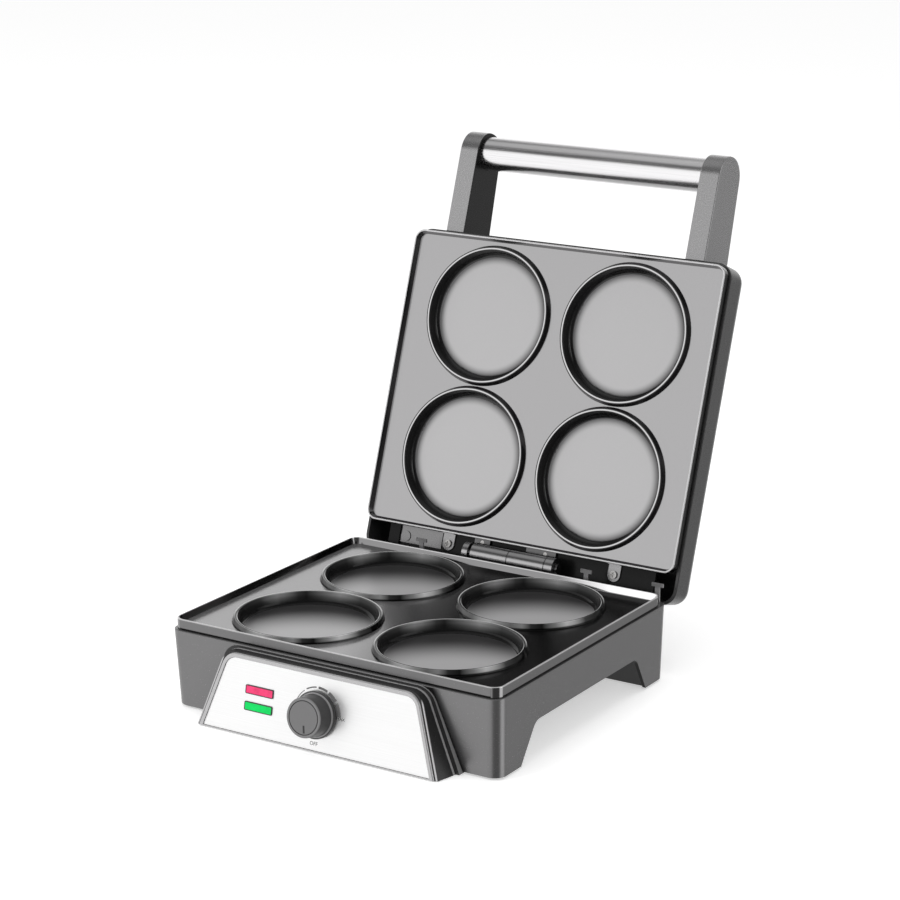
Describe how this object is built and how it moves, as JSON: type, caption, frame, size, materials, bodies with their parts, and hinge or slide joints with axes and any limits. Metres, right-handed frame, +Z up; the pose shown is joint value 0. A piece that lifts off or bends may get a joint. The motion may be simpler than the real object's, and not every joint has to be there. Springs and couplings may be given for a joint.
{
  "type": "four-well mini cake maker",
  "caption": "Countertop plate cooker with a hinged lid, ringed round wells in both plates, a raised sloping control panel with a knob, and a tube handle between two arms",
  "frame": {"origin": "on the table under the middle of the box that just holds the open cooker, lid open as in the picture", "axes": "+X to the right as the user faces the knob, +Y from the knob towards the hinge, +Z up"},
  "size_m": [0.264, 0.4031, 0.3529],
  "materials": {
    "housing": "fine metallic grey paint on moulded plastic",
    "bottom": "plain black moulded plastic",
    "plate": "dark glossy non-stick coating",
    "bezel": "smooth metallic grey",
    "panel": "pale brushed",
    "tube": "brushed along its length",
    "knob": "dark grey, satin",
    "pointer": "black inlay",
    "red_lens": "clear red",
    "green_lens": "clear green",
    "lamp": "small glow lamps",
    "rubber": "matt black",
    "steel": "plated sheet steel",
    "dark_steel": "dark plated steel",
    "screw": "zinc plated",
    "heater": "heat-stained tube",
    "reflector": "bright sheet",
    "ceramic": "glazed white"
  },
  "bodies": {
    "base": {"base_housing": "housing", "bottom_cover": "bottom", "rubber_feet": "rubber", "foot_screws": "screw", "control_bezel": "bezel", "control_panel": "panel", "red_lens": "red_lens", "green_lens": "green_lens", "indicator_lamps": "lamp", "thermostat": "ceramic", "thermostat_nut": "screw", "lower_plate": "plate", "lower_heating_element": "heater", "lower_reflector": "reflector", "lower_reflector_screws": "screw", "plate_clips": "steel", "thermal_fuse": "ceramic", "fuse_clip": "steel", "terminal_block": "ceramic", "cord_gland": "rubber", "hinge_base_leaf": "dark_steel", "hinge_pin": "steel", "hinge_screws": "screw"},
    "lid": {"lid_cover": "housing", "lid_strip": "dark_steel", "lid_bracket": "steel", "upper_plate": "plate", "upper_heating_element": "heater", "upper_reflector": "reflector", "upper_reflector_screws": "screw", "plate_tabs": "steel", "tab_screws": "screw", "hinge_lid_leaf": "dark_steel", "lid_leaf_screws": "screw", "handle_arm_left": "housing", "handle_arm_right": "housing", "handle_tube": "tube", "handle_screws": "screw"},
    "knob_set": {"knob": "knob", "knob_pointer": "pointer", "thermostat_shaft": "steel"}
  },
  "joints": [
    {"name": "lid_hinge", "type": "hinge", "parent": "base", "child": "lid", "pos_m": [0, 0.06399, 0.064], "axis": [1, 0, 0], "range_deg": [0, 109]},
    {"name": "knob_turn", "type": "hinge", "parent": "base", "child": "knob_set", "pos_m": [0, -0.18402, 0.0253], "axis": [0, 0.9854, -0.1702], "range_deg": [0, 270]}
  ]
}
